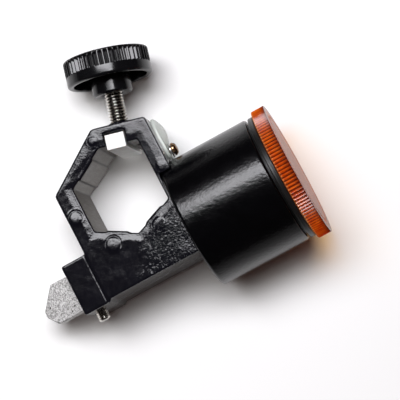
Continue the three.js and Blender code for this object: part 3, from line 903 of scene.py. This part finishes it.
def make_pot():
    low, high = POT_LOW.z, POT_HIGH.z
    radius, inner, hole, floor = 21.7, 19.9, 3.2, 16.5
    thread_low, thread_high = high - 5.6, high - 1.2
    outer = filleted([(hole, low), (radius - 6, low, 0.3), (radius - 5.6, low, 0.3), (radius, low, 1.1),
                      (radius, high - 2)], 7)
    lip = filleted([(radius, high - 2), (radius, high, 0.85), (inner, high, 0.8),
                    (inner, thread_high + 0.1)], 6)
    inside = rows(inner, thread_high, thread_low, CAP_ROWS)
    bottom = filleted([(inner, thread_low - 0.1), (inner, floor, 0.6), (hole, floor)], 5)
    shape = thread(inner, -CAP_THREAD, CAP_PITCH, thread_low, thread_high)
    mesh = lathe_mesh("oil_cup", outer + lip[1:] + inside + bottom, 192, POT, closed=True, shape=shape)
    finish_mesh("oil_cup", mesh, "carriage", pot_plastic(), ["oil_pot"], 35)


def make_cap():
    low, high = CAP_LOW.z, CAP_HIGH.z
    radius, plug, bore = 22.9, 19.3, 17.5
    rim_low, rim_top, dome_edge = low + 6.9, high - 0.2, 18.2
    thread_low, thread_high = low + 0.7, rim_low - 2.2
    tooth_count, points_per_tooth, tooth_depth, dome_rows = 116, 6, 0.6, 14
    inside = filleted([(0, rim_top - 2.2), (bore, rim_top - 2.2, 0.8), (bore, low, 0.3), (plug, low, 0.5),
                       (plug, thread_low)], 5)
    spiral = rows(plug, thread_low, thread_high, CAP_ROWS)
    under = filleted([(plug, thread_high + 0.1), (plug, rim_low, 0.25), (radius - 0.15, rim_low, 0.05),
                      (radius, rim_low + 0.15)], 4)
    edge = rows(radius, rim_low + 0.15, rim_top - 0.15, 0.35)
    top = filleted([(radius, rim_top - 0.15), (radius - 0.15, rim_top, 0.05), (19.7, rim_top, 0.2),
                    (19.3, rim_top - 0.5, 0.15), (18.5, rim_top - 0.5, 0.15), (dome_edge, rim_top)], 3)
    shares = [1 - i / dome_rows for i in range(1, dome_rows + 1)]
    dome = [(dome_edge * share, rim_top + 0.2 * (1 - share ** 2)) for share in shares]
    teeth = ribs(radius, tooth_count, tooth_depth, crest=0.08, low=rim_low + 0.1, high=rim_top - 0.1,
                 fade=0.05)
    shape = both(thread(plug, CAP_THREAD, CAP_PITCH, thread_low, thread_high), teeth)
    profile = inside + spiral[1:] + under + edge[1:] + top[1:] + dome
    mesh = lathe_mesh("amber_cap", profile, tooth_count * points_per_tooth, POT, shape=shape)
    paint_roots(mesh, POT, radius, tooth_depth)
    own = own_points(mesh, POT)
    on_rim = np.hypot(own[:, 0], own[:, 1]) > radius - 0.65
    rise = np.clip((own[:, 2] - rim_low) / (rim_top - rim_low), 0, 1)
    # the rim's painted shade and painted highlight follow this height
    paint_value(mesh, "rise", np.where(on_rim, rise, 0.5))
    # the top face: a satin finish, and painted greyer as a reflection of the table
    paint_value(mesh, "top", np.where(on_rim, 0, own[:, 2] > rim_top - 0.6))
    finish_mesh("amber_cap", mesh, "cap", amber_plastic(), ["pot_cap"], 28)


def make_gasket():
    low, high = box_mm("cap_gasket")
    outer, inner = 21.6, 19.7
    skirt, plug = 1.9, 19.42
    waist = (outer - 0.12, (low.z + high.z) / 2, 0.5)
    profile = filleted([(plug, low.z - skirt), (inner, low.z - skirt, 0.1), (inner, low.z, 0.1),
                        (outer, low.z, 0.6), waist, (outer, high.z, 0.6), (plug, high.z)], 5)
    mesh = lathe_mesh("seal_ring", profile, 160, POT, closed=True)
    finish_mesh("seal_ring", mesh, "gasket", rubber(), ["cap_gasket"], 40)


def make_outlet():
    light, dark = rgb(0.78, 0.58, 0.27), rgb(0.48, 0.33, 0.13)
    brass = bright_metal("brass_fitting", light, dark, rough=0.28, mark_mm=0.25)
    low, high = box_mm("outlet_screw")
    shank, head, way, head_low = 2.8, 4.62, 1.5, 18.1
    spiral = rows(shank, low.z + 0.5, head_low - 2.4, 0.08)
    profile = [(way, low.z), (shank - 0.4, low.z)] + spiral
    profile += filleted([(shank, head_low - 2.3), (shank, head_low, 0.1), (head, head_low),
                         (head, high.z)], 3)
    profile += [(head * 0.8, high.z), (way + 0.3, high.z), (way, high.z - 0.3)]
    spiral_shape = thread(shank, depth=0.4, pitch=0.8, low=low.z + 0.4, high=head_low - 2.4)
    shape = both(spiral_shape, hexagon(head))
    mesh = lathe_mesh("oil_outlet", profile, 96, POT, closed=True, shape=shape)
    finish_mesh("oil_outlet", mesh, "carriage", brass, ["outlet_screw"], 30)


def make_outlet_seal():
    profile = ring_profile("outlet_washer", inner=3.1, outer=5.2, low_rounding=0.15, high_rounding=0.15)
    mesh = lathe_mesh("outlet_seal", profile, 72, POT)
    finish_mesh("outlet_seal", mesh, "carriage", fibre(), ["outlet_washer"], 40)


def make_felt():
    low, high = box_mm("felt_pad")
    outer, hole, relief, relief_top = 19.5, 1.45, 5.6, high.z - 6.1
    profile = rows(hole, high.z, relief_top, 1.0) + [(relief, relief_top)]
    profile += rows(relief, high.z - 6.3, low.z + 0.2, 1.0)
    profile += [(r, low.z + 0.05) for r in np.linspace(relief + 0.4, outer - 0.4, 18)]
    profile += rows(outer - 0.05, low.z + 0.3, high.z - 0.3, 0.8)
    profile += [(r, high.z - 0.05) for r in np.linspace(outer - 0.4, hole + 0.4, 24)]
    mesh = lathe_mesh("felt_disc", profile, 150, POT, closed=True)
    points = points_of(mesh)
    fuzz_depth = 0.12 * MM
    fuzz = wobble(points, 0.7 * MM) * 0.5 + wobble(points, 1.8 * MM, 5.0)
    centre = np.array([POT.translation.x * MM, 0, (low.z + high.z) / 2 * MM])
    inward = centre - points
    inward /= np.linalg.norm(inward, axis=1)[:, None]
    points += inward * (fuzz_depth * (1 + fuzz))[:, None]
    mesh.vertices.foreach_set("co", points.ravel())
    finish_mesh("felt_disc", mesh, "carriage", felt(), ["felt_pad"], 0)


def make_wick():
    low, high = box_mm("wick")
    radius, strands, lay, depth = 1.15, 4, 2.6, 0.07

    def braid(angles, r, z):
        over = np.sin(strands * angles + z * lay) * np.sin(strands * angles - z * lay)
        return r - depth + depth * over

    profile = [(0, low.z), (0.8, low.z + 0.05)] + rows(radius, low.z + 0.4, high.z - 0.4, 0.22)
    profile += [(0.8, high.z - 0.05), (0, high.z)]
    mesh = lathe_mesh("oil_wick", profile, 56, POT, shape=braid)
    finish_mesh("oil_wick", mesh, "carriage", cotton(), ["wick"], 0)


# ---------------- magnifier

LENS_LOW, LENS_HIGH = box_mm("magnifier_lens")
LENS_HALF = 5.4  # half its width, and the radius of its round end
LENS_X = LENS_LOW.x + LENS_HALF  # the middle of the round end
LENS_PLATE = 19.2  # the top of its flat part


def lens_edge(angle, middle):
    """How far the lens reaches in the given direction from a point of its middle line, in millimetres."""
    tail, taper, curve = LENS_HIGH.x, 3.2, 2.6
    direction = Vector((math.cos(angle), math.sin(angle)))
    near, far, halvings = 0.0, 20.0, 30
    for _ in range(halvings):
        at = (near + far) / 2
        x, y = middle + direction.x * at, abs(direction.y * at)
        if x < LENS_X:
            inside = math.hypot(x - LENS_X, y) < LENS_HALF
        else:
            bulge = 1 - max(0, (x - (tail - taper)) / taper) ** curve
            inside = x < tail and y < LENS_HALF * max(0, bulge) ** 0.5
        near, far = (at, far) if inside else (near, at)
    return near


def lens_height(x, y, inset):
    """The height of the lens at a point that lies inset from its edge."""
    sphere, foot, soft = 8.8, 5.2, 0.35
    away = math.hypot(x - LENS_X, y)
    sag = sphere - math.sqrt(sphere ** 2 - foot ** 2)
    top = LENS_PLATE
    if away < foot:
        top = max(top, LENS_PLATE + sag - sphere + math.sqrt(max(0, sphere ** 2 - away ** 2)))
    rounded = soft - math.sqrt(max(0, soft ** 2 - max(0, soft - inset) ** 2))
    return top - rounded


def make_lens():
    """Rings of points outwards from one point, down the edge, and back under to the middle."""
    middle, under, bevel, deep_inside = -8.4, LENS_LOW.z, 0.15, 9
    rings, spokes = 44, 144
    clear_below, clear_above = 10, 30
    points, faces = [], []
    angles = [2 * math.pi * j / spokes for j in range(spokes)]
    limits = [lens_edge(a, middle) for a in angles]
    shares = [math.sin(math.pi / 2 * i / rings) ** 0.8 for i in range(1, rings + 1)]
    points.append((middle, 0, lens_height(middle, 0, deep_inside)))
    for share in shares:
        for a, limit in zip(angles, limits):
            x, y = middle + limit * share * math.cos(a), limit * share * math.sin(a)
            points.append((x, y, lens_height(x, y, limit * (1 - share))))
    for inset, z in [(0, under + bevel), (bevel, under)]:
        for a, limit in zip(angles, limits):
            points.append((middle + (limit - inset) * math.cos(a), (limit - inset) * math.sin(a), z))
    points.append((middle, 0, under))
    for j in range(spokes):
        k = (j + 1) % spokes
        faces.append((0, 1 + j, 1 + k))
        for i in range(rings + 1):
            first, second = 1 + i * spokes, 1 + (i + 1) * spokes
            faces.append((first + j, second + j, second + k, first + k))
        last = 1 + (rings + 1) * spokes
        faces.append((last + j, len(points) - 1, last + k))
    mesh = bpy.data.meshes.new("magnifier")
    mesh.from_pydata(points, [], faces)
    for name, radius, low, segments in [("hole", 1.5, clear_below, 48), ("seat", 2.7, LENS_PLATE, 72)]:
        profile = [(0, low), (radius, low), (radius, clear_above), (0, clear_above)]
        drill = lathe_mesh(name, profile, segments, Matrix.Scale(1 / MM, 4) @ upright("lens_screw"))
        mesh = cut(mesh, drill)
    mesh.transform(Matrix.Scale(MM, 4))
    finish_mesh("magnifier", mesh, "carriage", clear_acrylic(), ["magnifier_lens"], 35)


def cut(mesh, tool):
    """The mesh with another closed mesh cut away."""
    face_outward(mesh)
    face_outward(tool)
    knife = placed("knife", tool)
    made = evaluated(mesh, [("BOOLEAN", {"operation": "DIFFERENCE", "solver": "EXACT", "object": knife})])
    bpy.data.objects.remove(knife)
    return made


def make_lens_screw():
    place = upright("lens_screw")
    low, high = box_mm("lens_screw")
    shank, head, head_low = 1.2, 2.2, high.z - 1.6
    slot_size, slot_angle = (6, 0.7, 1.6), 35
    profile = [(0, low.z), (shank - 0.3, low.z)] + rows(shank, low.z + 0.3, head_low - 0.5, 0.05)
    profile += filleted([(shank, head_low - 0.4), (shank, head_low, 0.1), (head, head_low, 0.12),
                         (head, head_low + 0.6, 0.3), (head - 0.7, high.z - 0.12, 0.9), (0, high.z)], 6)
    shape = thread(shank, depth=0.25, pitch=0.5, low=low.z + 0.2, high=head_low - 0.5, fade=0.3)
    mesh = lathe_mesh("lens_bolt", profile, 64, place, shape=shape)
    mesh.transform(Matrix.Scale(1 / MM, 4))
    slot = bmesh.new()
    bmesh.ops.create_cube(slot, size=1)
    tool = bpy.data.meshes.new("slot")
    slot.to_mesh(tool)
    slot.free()
    turn = Matrix.Rotation(math.radians(slot_angle), 4, "Z")
    centre = Matrix.Translation((place.translation.x, 0, high.z))
    tool.transform(centre @ turn @ Matrix.Diagonal((*slot_size, 1)))
    mesh = cut(mesh, tool)
    mesh.transform(Matrix.Scale(MM, 4))
    light, dark = rgb(0.5, 0.31, 0.17), rgb(0.16, 0.09, 0.05)
    bronze = bright_metal("bronze_screw", light, dark, rough=0.22, mark_mm=0.2)
    finish_mesh("lens_bolt", mesh, "carriage", bronze, ["lens_screw"], 35)


def make_lens_washer():
    profile = ring_profile("lens_washer", inner=1.5, outer=2.4, low_rounding=0.1, high_rounding=0.18)
    mesh = lathe_mesh("lens_ring", profile, 72, upright("lens_screw"))
    zinc = bright_metal("zinc_washer", rgb(0.8, 0.8, 0.79), rgb(0.6, 0.6, 0.58), rough=0.22, mark_mm=0.3)
    finish_mesh("lens_ring", mesh, "carriage", zinc, ["lens_washer"], 40)


# ---------------- cutter head

def head_shape(points, normals):
    """Small dents and lumps of a pressed part, always inward."""
    depth = 0.03
    lumps = wobble(points, 0.9, 1.0) * 0.5 + wobble(points, 3.0, 4.0)
    points -= normals * (depth * (1 + 0.6 * lumps))[:, None]
    return points


def make_head():
    mesh = softened("cutter_head", "wheel_holder", voxel=0.13, smoothing=4, keep=0.45, deform=head_shape)
    mesh.transform(Matrix.Scale(MM, 4))
    finish_mesh("wheel_holder", mesh, "head", sintered(), ["cutter_head"], 0)


def make_wheel():
    low, high = box_mm("cutting_wheel")
    start, end, bore = low.x, high.x, 0.7
    middle, radius = (start + end) / 2, (high.z - low.z) / 2
    shoulder = radius - 0.5
    profile = filleted([
        (bore, start), (bore + 0.1, start, 0.03), (shoulder, start, 0.06), (radius - 0.12, middle - 0.1),
        (radius, middle), (radius - 0.12, middle + 0.1), (shoulder, end, 0.06), (bore, end)], 3)
    mesh = lathe_mesh("wheel", profile, 128, lying("cutting_wheel"), closed=True)
    carbide = bright_metal("carbide", rgb(0.3, 0.31, 0.33), rgb(0.17, 0.175, 0.19), rough=0.24, mark_mm=0.12)
    finish_mesh("wheel", mesh, "wheel", carbide, ["cutting_wheel"], 25)


def make_axle():
    low, high = box_mm("wheel_axle")
    radius, rounding = 0.5, 0.12
    profile = filleted([(0, low.x), (radius, low.x, rounding), (radius, high.x, rounding), (0, high.x)])
    mesh = lathe_mesh("wheel_pin", profile, 48, lying("wheel_axle"))
    light, dark = rgb(0.62, 0.61, 0.6), rgb(0.42, 0.4, 0.38)
    steel = bright_metal("axle_steel", light, dark, rough=0.25, mark_mm=0.15, stretch=(0.2, 1, 1))
    finish_mesh("wheel_pin", mesh, "head", steel, ["wheel_axle"], 35)


def make_set_screw(nickel):
    low, high = box_mm("head_set_screw")
    radius, key, depth = 2.0, 1.25, 1.7
    profile = [(0, low.x), (radius - 0.5, low.x), (radius, low.x + 0.5)]
    profile += rows(radius, low.x + 0.55, high.x - 0.35, 0.05)
    profile += [(radius - 0.3, high.x), (key + 0.18, high.x), (key, high.x - 0.15), (key, high.x - depth),
                (0, high.x - depth - 0.3)]
    spiral_shape = thread(radius, depth=0.4, pitch=0.7, low=low.x + 0.5, high=high.x - 0.3, fade=0.4)
    shape = both(spiral_shape, hexagon(key))
    mesh = lathe_mesh("grub_screw", profile, 96, lying("head_set_screw"), shape=shape)
    finish_mesh("grub_screw", mesh, "set_screw", nickel, ["head_set_screw"], 35)


make_casting()
make_pad()
nickel_plate = make_clamp_screw()
make_knob()
make_pot()
make_cap()
make_gasket()
make_outlet()
make_outlet_seal()
make_felt()
make_wick()
make_lens()
make_lens_screw()
make_lens_washer()
make_head()
make_wheel()
make_axle()
make_set_screw(nickel_plate)
